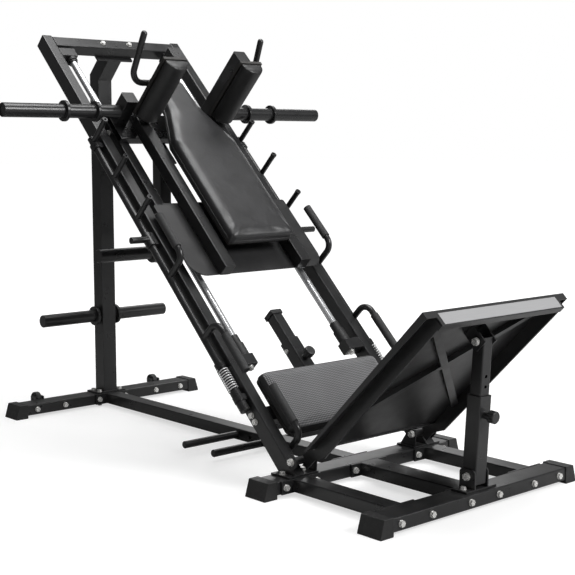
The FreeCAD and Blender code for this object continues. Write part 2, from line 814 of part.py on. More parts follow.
def carriage_posts():
    """Posts on the carriage: two short ones for the horns and two tall ones for the pads."""
    posts = []
    for side in SIDES:
        horn_post = square_tube(
            "z", mirrored(HORN_POST_X, side), HORN_POST_Y, (UPPER_CROSS_TOP, HORN_POST_TOP - 3.0)
        )
        horn_cap = square_bar(
            "z", mirrored(HORN_POST_X, side), HORN_POST_Y, (HORN_POST_TOP - 3.0, HORN_POST_TOP)
        )
        pad_post = square_tube(
            "z", mirrored(SHOULDER_POST_X, side), SHOULDER_POST_Y,
            (UPPER_CROSS_TOP, SHOULDER_POST_TOP - 3.0)
        )
        pad_cap = square_bar(
            "z", mirrored(SHOULDER_POST_X, side), SHOULDER_POST_Y,
            (SHOULDER_POST_TOP - 3.0, SHOULDER_POST_TOP)
        )
        posts.append(tip(join([horn_post, horn_cap])))
        posts.append(tip(join([pad_post, pad_cap])))
    return posts


def bearing_housings():
    """Four square housings under the carriage that hold the linear bearings."""
    housings = []
    for side in SIDES:
        for span in (LOWER_HOUSING, UPPER_HOUSING):
            x = mirrored((GUIDE_X - HOUSING_HALF, GUIDE_X + HOUSING_HALF), side)
            z = (GUIDE_OUT - HOUSING_HALF, GUIDE_OUT + HOUSING_HALF)
            bore = rod(
                Vector(side * GUIDE_X, span[0] - 1.0, GUIDE_OUT),
                Vector(side * GUIDE_X, span[1] + 1.0, GUIDE_OUT),
                BEARING_RADIUS,
            )
            housings.append(tip(square_bar("y", x, span, z, 3.0).cut(bore)))
    return housings


def linear_bearings():
    """Four bearing sleeves that slide on the guide rods."""
    sleeves = []
    for side in SIDES:
        for span in (LOWER_HOUSING, UPPER_HOUSING):
            start = Vector(side * GUIDE_X, span[0], GUIDE_OUT)
            end = Vector(side * GUIDE_X, span[1], GUIDE_OUT)
            sleeves.append(tip(pipe(start, end, BEARING_RADIUS, BEARING_BORE)))
    return sleeves


def leg_press_plate():
    """The sheet that the feet push on in leg press use, with rounded lower corners."""
    plate = box((-PLATE_HALF, PLATE_HALF), PLATE_SPAN, (PLATE_LOW, PLATE_HIGH))
    lower = [edge for edge in edges_along(plate, AXES["z"]) if edge.CenterOfMass.y < 500.0]
    plate = plate.makeFillet(60.0, lower)
    upper = [edge for edge in edges_along(plate, AXES["z"]) if edge.CenterOfMass.y > 700.0]
    return tip(plate.makeFillet(8.0, upper))


def weight_horn(side):
    """A hollow plate horn with its two collars and a disc set just inside its outer end."""
    start = Vector(side * HORN_POST_X[1], HORN_ALONG, HORN_OUT)
    end = Vector(side * HORN_END, HORN_ALONG, HORN_OUT)
    out = Vector(side, 0, 0)
    tube = rod(start, end, HORN_RADIUS)
    rim = [edge for edge in tube.Edges if edge.Closed and abs(edge.CenterOfMass.x) > HORN_END - 1.0]
    tube = tube.makeFillet(1.5, rim)
    tube = tube.cut(rod(start, end - out * (HORN_RECESS + 10.0), HORN_RADIUS - HORN_WALL))
    tube = tube.cut(rod(end - out * HORN_RECESS, end, HORN_RADIUS - HORN_WALL))
    parts = [tube]
    for x in (INNER_COLLAR_X - COLLAR_THICK, OUTER_COLLAR_X):
        foot = Vector(side * x, HORN_ALONG, HORN_OUT)
        ring = pipe(foot, foot + out * COLLAR_THICK, COLLAR_RADIUS, HORN_RADIUS)
        outer = [edge for edge in ring.Edges if edge.Closed and edge.Length > 200.0]
        parts.append(ring.makeFillet(2.0, outer))
    return tip(join(parts))


def back_outline(inset):
    """Corners of the back pad: wide at the hips, narrow between the shoulder pads."""
    half = [(146.0, 524.0), (146.0, 985.0), (84.0, 1140.0), (68.0, 1298.0)]
    right = [(x - inset, y) for x, y in half]
    right[0] = (right[0][0], half[0][1] + inset)
    right[-1] = (right[-1][0], half[-1][1] - inset)
    left = [(-x, y) for x, y in reversed(right)]
    return right + left


def back_prism(inset, z):
    """A solid with the back pad's outline."""
    corners = [Vector(x, y, z[0]) for x, y in back_outline(inset)]
    return prism(corners, Vector(0, 0, 0), Vector(0, 0, z[1] - z[0]))


def back_board():
    """The board that the back pad is built on."""
    return tip(back_prism(14.0, BACK_BOARD))


def back_pad():
    """The back pad cushion with rounded edges."""
    pad = back_prism(0.0, BACK_PAD_Z)
    pad = pad.makeFillet(24.0, edges_along(pad, AXES["z"]))
    top = [edge for edge in pad.Edges if edge.CenterOfMass.z > BACK_PAD_Z[1] - 0.1]
    return tip(pad.makeFillet(14.0, top))


def shoulder_boards():
    """The boards behind the shoulder pads."""
    boards = []
    for side in SIDES:
        y = (SHOULDER_POST_Y[0] - PAD_BOARD, SHOULDER_POST_Y[0])
        boards.append(tip(box(mirrored(SHOULDER_PAD_X, side), y, SHOULDER_PAD_Z)))
    return boards


def shoulder_pad(side):
    """A D-shaped shoulder pad: flat against its board, round towards the feet."""
    flat = SHOULDER_POST_Y[0] - PAD_BOARD - 0.5
    x = mirrored(SHOULDER_PAD_X, side)
    centre = (x[0] + x[1]) / 2
    low = SHOULDER_PAD_Z[0]
    left = Vector(x[0], flat - 3.0, low)
    right = Vector(x[1], flat - 3.0, low)
    crown = Vector(centre, flat - SHOULDER_PAD_DEPTH, low)
    back_left = Vector(x[0], flat, low)
    back_right = Vector(x[1], flat, low)
    outline = Part.Wire([
        Part.makeLine(back_right, back_left),
        Part.makeLine(back_left, left),
        Part.Arc(left, crown, right).toShape(),
        Part.makeLine(right, back_right),
    ])
    return tip(Part.Face(outline).extrude(Vector(0, 0, SHOULDER_PAD_Z[1] - low)))


def j_handles():
    """Bent hand grips outside the shoulder pads."""
    handles = []
    for side in SIDES:
        start = Vector(side * SHOULDER_POST_X[1], J_ALONG, J_OUT)
        corner = Vector(side * 268.0, J_ALONG, J_OUT)
        top = Vector(side * 258.0, 1234.0, 752.0)
        bar = bent_bar([start, corner, top], HANDLE_RADIUS, 46.0)
        collar = rod(start, start + Vector(side * 10.0, 0, 0), 17.0)
        handles.append(tip(bar.fuse(collar).fuse(Part.makeSphere(HANDLE_RADIUS, top))))
    return handles


def carriage_bolts():
    """Bolt heads on the pad posts and on the bearing housings."""
    heads = []
    for side in SIDES:
        for y in (1142.0, 740.0):
            at = Vector(side * (GUIDE_X + HOUSING_HALF), y + 30.0, GUIDE_OUT)
            heads.append((at, Vector(side, 0, 0)))
        at = Vector(side * 133.0, SHOULDER_POST_Y[0], 430.0)
        heads.append((at, Vector(0, -1, 0)))
    solids = []
    for at, axis in heads:
        washer = rod(at, at + axis * 1.5, 10.0)
        solids.append(tip(join([washer, hex_prism(at + axis * 1.5, axis, 16.0, 6.5)])))
    return solids


def bar_handle_paths(side):
    """Centre lines of the upper and lower handles of a safety bar, in ramp axes."""
    x = side * BAR_X
    upper = [Vector(x, 508.0, BAR_OUT), Vector(x, 508.0, 448.0), Vector(x, 690.0, 448.0)]
    lower = [Vector(x, 254.0, BAR_OUT), Vector(x, 254.0, 436.0), Vector(x, 56.0, 436.0)]
    return upper, lower


def safety_bar(side):
    """A turning bar with three stop pegs, two handles and its spring collars."""
    x = side * BAR_X
    parts = [rod(Vector(x, BAR_SPAN[0], BAR_OUT), Vector(x, BAR_SPAN[1], BAR_OUT), BAR_RADIUS)]
    for y in PEG_PLACES:
        parts.append(rod(Vector(x, y, BAR_OUT), Vector(x, y, PEG_TOP - 8.0), PEG_RADIUS))
        cap = rod(Vector(x, y, PEG_TOP - 8.0), Vector(x, y, PEG_TOP), PEG_RADIUS + 1.0)
        parts.append(cap.cut(hex_prism(Vector(x, y, PEG_TOP - 4.0), Vector(0, 0, 1), 8.0, 5.0)))
    for path, bend in zip(bar_handle_paths(side), (34.0, 42.0)):
        parts.append(bent_bar(path, HANDLE_RADIUS, bend))
    for y in BAR_COLLARS:
        parts.append(rod(Vector(x, y[0], BAR_OUT), Vector(x, y[1], BAR_OUT), BAR_RADIUS + 4.0))
    return tip(join(parts))


def bar_grips(side):
    """Foam grips on the two handles of a safety bar."""
    grips = []
    for path, length in zip(bar_handle_paths(side), (140.0, 140.0)):
        end = path[2]
        back = (path[1] - path[2]).normalize() * length
        grips.append(tip(pipe(end + back, end, GRIP_RADIUS, HANDLE_RADIUS)))
    return grips


def bar_spring(side):
    """The coil spring around the lower end of a safety bar."""
    length = SPRING_SPAN[1] - SPRING_SPAN[0] - 2 * SPRING_WIRE - 0.4
    helix = Part.makeHelix(length / SPRING_TURNS, length, SPRING_RADIUS)
    start = Vector(SPRING_RADIUS, 0, 0)
    profile = Part.Wire(Part.makeCircle(SPRING_WIRE, start, Vector(0, 1, 0)))
    coil = Part.Wire(helix.Edges).makePipeShell([profile], True, True)
    coil.rotate(Vector(0, 0, 0), Vector(1, 0, 0), -90.0)
    coil.translate(Vector(side * BAR_X, SPRING_SPAN[0] + SPRING_WIRE + 0.2, BAR_OUT))
    return tip(coil)


def footplate_tray():
    """The folded sheet tray that the feet or the back rest on, with a deep shelf at its top."""
    sheet = TRAY_SHEET
    back = TRAY_FACE - TRAY_LIP
    foot_back = TRAY_FACE - TRAY_FOOT_LIP
    shelf_back = TRAY_FACE - TRAY_TOP_DEPTH
    wide = (-TRAY_HALF, TRAY_HALF)
    shelf = (-SHELF_HALF, SHELF_HALF)
    between_arms = (1.0 - ARM_X[0], ARM_X[0] - 1.0)
    parts = [
        box(wide, (TRAY_FACE - sheet, TRAY_FACE), (TRAY_LOW, TRAY_HIGH)),
        box(wide, (back, TRAY_FACE), (TRAY_HIGH - sheet, TRAY_HIGH)),
        box(shelf, (shelf_back, TRAY_FACE), (TRAY_HIGH - sheet, TRAY_HIGH)),
        box(shelf, (shelf_back, shelf_back + sheet), (TRAY_HIGH - 22.0, TRAY_HIGH)),
        box(between_arms, (foot_back, TRAY_FACE), (TRAY_LOW, TRAY_LOW + sheet)),
    ]
    corners = [(TRAY_FACE, TRAY_LOW), (TRAY_FACE, TRAY_HIGH), (back, TRAY_HIGH), (foot_back, TRAY_LOW)]
    for side in SIDES:
        parts.append(side_plate(corners, mirrored((TRAY_HALF - sheet, TRAY_HALF), side)))
    return tip(join(parts))


def rib(start, end, width):
    """A flat bar across the back of the tray between two (x, z) points."""
    run = Vector(end[0] - start[0], 0, end[1] - start[1])
    across = Vector(run.z, 0, -run.x).normalize() * (width / 2)
    foot = Vector(start[0], RIB_BACK, start[1])
    corners = [foot - across, foot + across, foot + run + across, foot + run - across]
    return prism(corners, Vector(0, 0, 0), Vector(0, TRAY_FACE - TRAY_SHEET - RIB_BACK, 0))


def footplate_frame():
    """Arms, crossed ribs, hinge knuckles and post lugs behind the tray."""
    front = TRAY_FACE - TRAY_SHEET
    parts = [
        rib((-256.0, 1072.0), (256.0, 571.0), 24.0),
        rib((256.0, 1072.0), (-256.0, 602.0), 24.0),
    ]
    top = TRAY_HIGH - 6.0
    arm = [
        (front, top), (ARM_BACK, top), (ARM_BACK, 470.0), (ARM_FOOT_BACK, 430.0),
        (ARM_FOOT_BACK, ARM_FOOT), (ARM_FOOT_FRONT, ARM_FOOT), (ARM_FOOT_FRONT, 440.0), (front, 450.0),
    ]
    pivot_along = (HINGE_Y + HINGE_Z) / math.sqrt(2.0)
    pivot_out = (HINGE_Z - HINGE_Y) / math.sqrt(2.0)
    bores = []
    for side in SIDES:
        parts.append(side_plate(arm, mirrored(ARM_X, side)))
        start = Vector(side * 224.0, pivot_along, pivot_out)
        end = Vector(side * 305.0, pivot_along, pivot_out)
        parts.append(rod(start, end, 12.0))
        bores.append(rod(start, end, PIVOT_BORE))
        cheek = box(
            mirrored((LUG_GAP, LUG_GAP + LUG_THICK), side), (LUG_ALONG - 20.0, front),
            (LUG_OUT - LUG_HALF, LUG_OUT + LUG_HALF)
        )
        parts.append(cheek)
    frame = join(parts)
    for bore in bores:
        frame = frame.cut(bore)
    return tip(frame.cut(post_slot()))


def post_slot():
    """The loose hole in the lugs that lets the post pin shift as the footplate tilts."""
    start = Vector(-60.0, LUG_ALONG, LUG_OUT)
    return rod(start, start + Vector(120.0, 0, 0), POST_SLOT)


def trim_strip():
    """A plain metal strip on the top edge of the tray."""
    return tip(box((-256.0, 256.0), (-304.0, -267.0), (TRAY_HIGH, TRAY_HIGH + 1.2)))


def post_tilt():
    """Lean of the support post from vertical, in degrees."""
    top = tipped_point(0, LUG_ALONG, LUG_OUT)
    return math.degrees(math.atan2(POST_PIVOT_Y - top.y, top.z - POST_PIVOT_Z))


def post_length():
    """Distance between the two pivots of the support post."""
    top = tipped_point(0, LUG_ALONG, LUG_OUT)
    return (top - Vector(0, POST_PIVOT_Y, POST_PIVOT_Z)).Length


def stand(shape):
    """Move a shape from upright post axes, with the foot pivot at the origin, into place."""
    placed = shape.copy()
    placed.rotate(Vector(0, 0, 0), Vector(1, 0, 0), post_tilt())
    placed.translate(Vector(0, POST_PIVOT_Y, POST_PIVOT_Z))
    return placed


def post_outer():
    """The lower tube of the support post."""
    half = POST_HALF
    tube = square_tube("z", (-half, half), (-half, half), (-22.0, POST_LENGTH), POST_WALL)
    tube = tube.cut(rod(Vector(-40, 0, 0), Vector(40, 0, 0), PIVOT_BORE))
    socket = rod(Vector(0, -half - 12.0, POST_PIN_UP), Vector(0, -half, POST_PIN_UP), 11.0)
    pin_hole = rod(Vector(0, -60, POST_PIN_UP), Vector(0, 0, POST_PIN_UP), 5.2)
    return stand(tube.fuse(socket).cut(pin_hole))


def post_inner():
    """The sliding tube of the support post, with its row of holes and its top pin."""
    half = POST_INNER_HALF
    length = post_length()
    tube = square_tube("z", (-half, half), (-half, half), (82.0, length + 12.0))
    for step in range(7):
        height = 112.0 + 30.0 * step
        tube = tube.cut(rod(Vector(0, -40, height), Vector(0, 40, height), 5.2))
    tube = tube.cut(rod(Vector(-40, 0, length), Vector(40, 0, length), PIVOT_RADIUS))
    pin = bolt(Vector(-29.0, 0, length), Vector(-1, 0, 0), 58.0, PIVOT_RADIUS)
    return [stand(tube), stand(pin)]


def knob_and_pin(shank, reach):
    """A round knob on a spring pin. Its axis is +Z and the tube face is at Z = 0."""
    knob = Part.makeCylinder(18.5, 24.0, Vector(0, 0, 16.0))
    knob = knob.makeFillet(5.0, [edge for edge in knob.Edges if edge.Closed])
    for step in range(10):
        angle = math.radians(36 * step)
        at = Vector(20.5 * math.cos(angle), 20.5 * math.sin(angle), 15.0)
        knob = knob.cut(Part.makeCylinder(4.0, 26.0, at))
    pin = Part.makeCylinder(shank, 17.0 + reach, Vector(0, 0, -reach))
    return knob.fuse(pin)


def post_pin():
    """The pull knob that locks the support post."""
    pin = knob_and_pin(5.0, POST_WALL - 0.5)
    pin.rotate(Vector(0, 0, 0), Vector(1, 0, 0), 90.0)
    pin.translate(Vector(0, -POST_HALF, POST_PIN_UP))
    return stand(pin)


def seat_sleeve():
    """The sliding sleeve under the seat with its two flat cross straps."""
    half = SLEEVE_HALF
    sleeve = square_tube(
        "y", (-half, half), SLEEVE_SPAN, (STEM_OUT - half, STEM_OUT + half), SLEEVE_WALL
    )
    hole = rod(
        Vector(0, SEAT_PIN_ALONG, STEM_OUT), Vector(0, SEAT_PIN_ALONG, STEM_OUT + 60.0), 5.2
    )
    nut = rod(
        Vector(0, SEAT_PIN_ALONG, STEM_OUT + half), Vector(0, SEAT_PIN_ALONG, STEM_OUT + half + 12.0), 11.0
    )
    parts = [sleeve, nut]
    for y in (-8.0, 38.0):
        parts.append(box((-220.0, 220.0), (y - 16.0, y + 16.0), (STEM_OUT + half, SEAT_BOARD_Z[0])))
    return tip(join(parts).cut(hole))


def seat_bolt():
    """The bolt head on the left side of the seat's sleeve."""
    at = Vector(-SLEEVE_HALF, *SEAT_BOLT)
    out = Vector(-1, 0, 0)
    return tip(join([rod(at, at + out * 1.5, 8.0), hex_prism(at + out * 1.5, out, 13.0, 5.5)]))


def seat_board():
    """The board under the seat cushion."""
    y = (SEAT_SPAN[0] + 8.0, SEAT_SPAN[1] - 8.0)
    board = box((-SEAT_HALF + 8.0, SEAT_HALF - 8.0), y, SEAT_BOARD_Z)
    return tip(board.makeFillet(18.0, edges_along(board, AXES["z"])))


def seat_pad():
    """The seat cushion."""
    pad = box((-SEAT_HALF, SEAT_HALF), SEAT_SPAN, SEAT_PAD_Z)
    pad = pad.makeFillet(26.0, edges_along(pad, AXES["z"]))
    top = [edge for edge in pad.Edges if edge.CenterOfMass.z > SEAT_PAD_Z[1] - 0.1]
    return tip(pad.makeFillet(9.0, top))


def seat_pin():
    """The pull knob that locks the seat on its stem."""
    pin = knob_and_pin(5.0, SLEEVE_WALL - 0.5)
    pin.translate(Vector(0, SEAT_PIN_ALONG, STEM_OUT + SLEEVE_HALF))
    return tip(pin)


def sub_parts():
    """Every named sub-part with its solids."""
    return {
        "rear_stabilizer": stabilizer(REAR_Y, rear_bolts() + foot_bolts()),
        "mid_stabilizer": stabilizer(MID_Y, mid_bolts() + foot_bolts()),
        "front_stabilizer": stabilizer(FRONT_Y, front_bolts() + foot_bolts()),
        "end_caps": end_caps(),
        "base_tubes": base_tubes(),
        "centre_beam": centre_beam(),
        "floor_band_pegs": floor_band_pegs(),
        "rear_upright": rear_upright(),
        "top_crossbar": top_crossbar(),
        "rail_left": rail(-1),
        "rail_right": rail(1),
        "tube_plugs": tube_plugs(),
        "lower_tie": lower_tie(),
        "upper_tie": upper_tie(),
        "storage_horns": storage_horns(),
        "guide_rods": guide_rods(),
        "rod_blocks": rod_blocks(),
        "rod_bumpers": rod_bumpers(),
        "bar_bushings": bar_bushings(),
        "seat_stem": seat_stem(),
        "seat_handles": seat_handles(),
        "seat_handle_grips": seat_handle_grips(),
        "hinge_lugs": hinge_lugs(),
        "post_bracket": post_bracket(),
        "frame_bolts": frame_bolts(),
        "wheel_brackets": wheel_brackets(),
        "wheel_left": wheel(-1),
        "wheel_right": wheel(1),
        "carriage_frame": carriage_frame(),
        "carriage_side_tubes": carriage_side_tubes(),
        "carriage_posts": carriage_posts(),
        "bearing_housings": bearing_housings(),
        "linear_bearings": linear_bearings(),
        "leg_press_plate": leg_press_plate(),
        "weight_horn_left": weight_horn(-1),
        "weight_horn_right": weight_horn(1),
        "back_board": back_board(),
        "back_pad": back_pad(),
        "shoulder_boards": shoulder_boards(),
        "shoulder_pad_left": shoulder_pad(-1),
        "shoulder_pad_right": shoulder_pad(1),
        "j_handles": j_handles(),
        "carriage_bolts": carriage_bolts(),
        "safety_bar_left": safety_bar(-1),
        "safety_bar_right": safety_bar(1),
        "bar_grips_left": bar_grips(-1),
        "bar_grips_right": bar_grips(1),
        "bar_spring_left": bar_spring(-1),
        "bar_spring_right": bar_spring(1),
        "footplate_tray": footplate_tray(),
        "footplate_frame": footplate_frame(),
        "trim_strip": trim_strip(),
        "post_outer": post_outer(),
        "post_inner": post_inner(),
        "post_pin": post_pin(),
        "seat_sleeve": seat_sleeve(),
        "seat_board": seat_board(),
        "seat_pad": seat_pad(),
        "seat_pin": seat_pin(),
        "seat_bolt": seat_bolt(),
    }


def footprint_middle():
    """How far the middle of the footprint lies in front of Y = 0 as drawn."""
    front = tipped_point(0, TRAY_FACE - TRAY_TOP_DEPTH, TRAY_HIGH).y
    return (front + WHEEL_Y + WHEEL_RADIUS) / 2.0


os.makedirs("parts", exist_ok=True)
for name, shape in sub_parts().items():
    solids = Part.makeCompound(shape) if isinstance(shape, list) else shape.copy()
    solids.translate(Vector(0, -footprint_middle(), 0))
    solids.exportStep("parts/" + name + ".step")
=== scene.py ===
"""Looks for a plate-loaded hack squat and leg press machine.

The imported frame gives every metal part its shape. This script gives those parts
their finishes, and replaces the four cushions with padded, sewn ones.

Machine axes are metres, +Z up. Things on the ramp are easier to describe in ramp
axes: X runs across, then up the slope, then straight out of the slope.
"""

import json
import math

import bmesh
import bpy
from mathutils import Matrix, Vector


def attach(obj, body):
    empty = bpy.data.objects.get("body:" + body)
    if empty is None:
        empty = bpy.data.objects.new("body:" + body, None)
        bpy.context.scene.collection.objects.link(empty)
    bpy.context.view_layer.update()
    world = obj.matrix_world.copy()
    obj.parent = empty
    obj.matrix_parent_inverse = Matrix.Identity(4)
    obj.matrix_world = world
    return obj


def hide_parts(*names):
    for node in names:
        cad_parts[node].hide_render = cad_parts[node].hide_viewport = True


SLOPE = math.radians(45.0)
UP_SLOPE = Vector((0.0, math.cos(SLOPE), math.sin(SLOPE)))
OFF_SLOPE = Vector((0.0, -math.sin(SLOPE), math.cos(SLOPE)))

BLACK_PAINT = (0.0125, 0.0125, 0.013)
# Lighter edge colour of the powder coat: partly wear, partly a painted highlight along the edges.
WORN_AND_HIGHLIT_EDGE_PAINT = (0.045, 0.045, 0.047)
SHEET_PAINT = (0.016, 0.016, 0.0165)
RUBBER = (0.011, 0.011, 0.0112)
FOAM = (0.0085, 0.0085, 0.0088)
VINYL = (0.0165, 0.0165, 0.0172)
SHOULDER_VINYL = (0.0095, 0.0095, 0.0098)
WEAVE_LIGHT = (0.210, 0.210, 0.214)
WEAVE_DARK = (0.022, 0.022, 0.024)
WEAVE_PITCH = 0.009
ZINC = (0.88, 0.87, 0.85)
# Chrome colour; on the rods a quarter of it shows as diffuse paint, a painted reflection.
CHROME_AND_PAINTED_REFLECTION = (0.86, 0.87, 0.88)
STRIP = (0.42, 0.42, 0.425)
PLASTIC = (0.013, 0.013, 0.0135)
BOARD = (0.012, 0.011, 0.010)
ZINC_BLOOM = (0.70, 0.70, 0.68)
OIL_FILM = (0.74, 0.75, 0.77)
SPRING_BRIGHT = (0.82, 0.82, 0.82)
SPRING_DULL = (0.60, 0.60, 0.60)
STRIP_GRAIN = (0.34, 0.34, 0.345)
PLASTIC_PALE = (0.022, 0.022, 0.023)
FOAM_PITS = (0.022, 0.022, 0.023)
BOARD_GRAIN = (0.030, 0.028, 0.026)
SCUFF = (0.06, 0.06, 0.06)
DUST = (0.20, 0.195, 0.19)

# Half the width of the support post's inner tube: its bolt shows beyond this.
POST_TUBE_HALF = 0.0205

# Cushions, in metres. The covers start inside the CAD solids and are blown up.
COVER_INSET = 0.0035
COVER_VOXEL = 0.006
SHOULDER_VOXEL = 0.005
COVER_PRESSURE = 4.0
COVER_FRAMES = 20
HELD_DEPTH = 0.004
SMOOTH_ROUNDS = 5
SMOOTH_FACTOR = 0.5
FLAT_CAP = 0.005
SHOULDER_CAP = 0.004
WELT_RADIUS = 0.0016
SEAT_WELT_RADIUS = 0.0015
WELT_STEP = 0.006
WELT_SOFTENING = 6
BACK_SEAM_DEPTH = 0.030
SHOULDER_SEAM_DEPTH = 0.006
SEAT_SEAM_DEPTH = 0.008

# Stage. The fill and the floor's glow are strengths, where 1 is plain white.
FILL = 0.16
FLOOR_GLOW = 0.62
FLOOR_GLOW_FROM = 1.2
FLOOR_GLOW_TO = 4.0
FLOOR_HALF = 60.0
FLOOR = (0.45, 0.45, 0.448)
MIDDLE = (0.0, 0.0, 0.7)

# Name, place, size in metres and power in watts of each studio light.
LIGHTS = (
    ("key", (1.6, -4.4, 3.2), (2.4, 1.8), 250.0),
    ("overhead", (0.3, 0.2, 4.4), (2.6, 2.6), 150.0),
    ("side", (-5.0, -1.2, 1.4), (1.0, 2.0), 6.0),
    ("rim", (3.4, 3.0, 2.8), (2.2, 2.2), 45.0),
)

# The camera: place in metres, angles in degrees, lens and sensor in millimetres.
EYE = (-2.6722, -3.1149, 1.0270)
EYE_HEADING = -41.15
EYE_DIP = 6.27
EYE_ROLL = -0.21
LENS = 76.06
SENSOR_WIDTH = 36.0
LENS_SHIFT = (0.0303, -0.0138)
FAR_CLIP = 200.0


# --- Material building blocks -------------------------------------------------


def new_material(name, metallic=0.0):
    """A material with its Principled shader."""
    material = bpy.data.materials.new(name)
    material.use_nodes = True
    shader = material.node_tree.nodes["Principled BSDF"]
    shader.inputs["Metallic"].default_value = metallic
    return material, shader


def add(shader, kind, inputs=None, **settings):
    """Add a node beside a shader. Input values may be numbers, colours or sockets."""
    tree = shader.id_data
    made = tree.nodes.new(kind)
    for name, value in settings.items():
        setattr(made, name, value)
    for name, value in (inputs or {}).items():
        if isinstance(value, bpy.types.NodeSocket):
            tree.links.new(value, made.inputs[name])
        else:
            made.inputs[name].default_value = value
    return made


def plug(shader, name, socket):
    """Feed a socket into one of the shader's inputs."""
    shader.id_data.links.new(socket, shader.inputs[name])


def rgba(colour):
    return (*colour, 1.0)


def object_place(shader):
    """Object coordinates, which are metres and travel with each piece."""
    return add(shader, "ShaderNodeTexCoord").outputs["Object"]


def ramp_place(shader, stretch=(1.0, 1.0, 1.0)):
    """Coordinates turned into ramp axes, with a scale for each axis."""
    turned = add(
        shader,
        "ShaderNodeMapping",
        {"Vector": object_place(shader), "Rotation": (-SLOPE, 0.0, 0.0), "Scale": stretch},
        vector_type="POINT",
    )
    return turned.outputs["Vector"]


def noise(shader, scale, detail=3.0, place=None):
    """Grey noise. scale is features per metre."""
    made = add(
        shader,
        "ShaderNodeTexNoise",
        {
            "Vector": place or object_place(shader),
            "Scale": scale,
            "Detail": detail,
            "Roughness": 0.55,
        },
    )
    return made.outputs["Fac"]


def remap(shader, value, low, high, to_low=0.0, to_high=1.0):
    """Stretch a value from one range to another, clamped."""
    made = add(
        shader,
        "ShaderNodeMapRange",
        {
            "Value": value,
            "From Min": low,
            "From Max": high,
            "To Min": to_low,
            "To Max": to_high,
        },
    )
    return made.outputs["Result"]


def blend_colours(shader, factor, first, second):
    """Mix two colours by a factor."""
    made = add(shader, "ShaderNodeMix", {"Factor": factor}, data_type="RGBA")
    for name, colour in (("A", first), ("B", second)):
        socket = [s for s in made.inputs if s.name == name and s.type == "RGBA"][0]
        if isinstance(colour, bpy.types.NodeSocket):
            shader.id_data.links.new(colour, socket)
        else:
            socket.default_value = rgba(colour)
    return [s for s in made.outputs if s.type == "RGBA"][0]


def maths(shader, operation, first, second):
    """One arithmetic step on two numbers or sockets."""
    made = add(shader, "ShaderNodeMath", operation=operation)
    for socket, value in zip(made.inputs, (first, second)):
        if isinstance(value, bpy.types.NodeSocket):
            shader.id_data.links.new(value, socket)
        else:
            socket.default_value = value
    return made.outputs["Value"]


def rounded_normal(shader, radius):
    """A normal that rounds sharp edges over a radius in metres."""
    return add(shader, "ShaderNodeBevel", {"Radius": radius}, samples=6).outputs["Normal"]


def bump(shader, height, depth, strength, normal=None):
    """Turn a height socket into a surface normal. depth is in metres."""
    inputs = {"Height": height, "Distance": depth, "Strength": strength}
    if normal is not None:
        inputs["Normal"] = normal
    return add(shader, "ShaderNodeBump", inputs).outputs["Normal"]


def outside_edges(shader, radius):
    """1 along outside edges, 0 on flat faces, broken up by noise."""
    tree = shader.id_data
    facing = add(shader, "ShaderNodeVectorMath", operation="DOT_PRODUCT")
    tree.links.new(rounded_normal(shader, radius), facing.inputs[0])
    tree.links.new(add(shader, "ShaderNodeNewGeometry").outputs["Normal"], facing.inputs[1])
    bent = maths(shader, "SUBTRACT", 1.0, facing.outputs["Value"])
    edge = remap(shader, bent, 0.03, 0.22)
    patches = remap(shader, noise(shader, 60.0, 4.0), 0.42, 0.62)
    return maths(shader, "MULTIPLY", edge, patches)


def upward_dust(shader):
    """How much fine dust lies on a face: most on faces that look up."""
    tree = shader.id_data
    split = add(shader, "ShaderNodeSeparateXYZ")
    tree.links.new(add(shader, "ShaderNodeNewGeometry").outputs["Normal"], split.inputs[0])
    facing = remap(shader, split.outputs["Z"], 0.55, 1.0)
    patches = remap(shader, noise(shader, 14.0, 5.0), 0.40, 0.75)
    return maths(shader, "MULTIPLY", facing, patches)


# --- Finishes -----------------------------------------------------------------


def powder_coat(name, colour, roughness=0.30):
    """Satin powder coat: fine orange peel, soft edges, outside edges lightened partly as wear and
    partly as a painted highlight, and a trace of dust.
    """
    material, shader = new_material(name)
    tone = remap(shader, noise(shader, 7.0, 4.0), 0.3, 0.7)
    base = blend_colours(shader, tone, colour, [c * 1.35 for c in colour])
    # Outside edges lightened: partly worn paint, partly a painted highlight along the edges.
    worn_and_highlit_edges = maths(shader, "MULTIPLY", outside_edges(shader, 0.0022), 0.35)
    base = blend_colours(shader, worn_and_highlit_edges, base, WORN_AND_HIGHLIT_EDGE_PAINT)
    dust = maths(shader, "MULTIPLY", upward_dust(shader), 0.10)
    base = blend_colours(shader, dust, base, DUST)
    plug(shader, "Base Color", base)
    uneven = remap(shader, noise(shader, 20.0, 3.0), 0.3, 0.7, roughness - 0.03, roughness + 0.04)
    plug(shader, "Roughness", uneven)
    peel = noise(shader, 650.0, 2.0)
    plug(shader, "Normal", bump(shader, peel, 0.00005, 0.3, rounded_normal(shader, 0.0016)))
    return material


def stretched_place(shader, stretch):
    """Object coordinates scaled along each machine axis."""
    made = add(
        shader, "ShaderNodeMapping", {"Vector": object_place(shader), "Scale": stretch}
    )
    return made.outputs["Vector"]


def bright_zinc():
    """Zinc plated bolts with turned faces and a faint bloom."""
    material, shader = new_material("bright_zinc", metallic=0.6)
    bloom = remap(shader, noise(shader, 130.0, 4.0), 0.35, 0.7)
    plug(shader, "Base Color", blend_colours(shader, bloom, ZINC, ZINC_BLOOM))
    plug(shader, "Roughness", remap(shader, noise(shader, 300.0, 3.0), 0.3, 0.7, 0.20, 0.36))
    turned = noise(shader, 1500.0, 1.0)
    plug(shader, "Normal", bump(shader, turned, 0.00008, 0.4, rounded_normal(shader, 0.0007)))
    return material


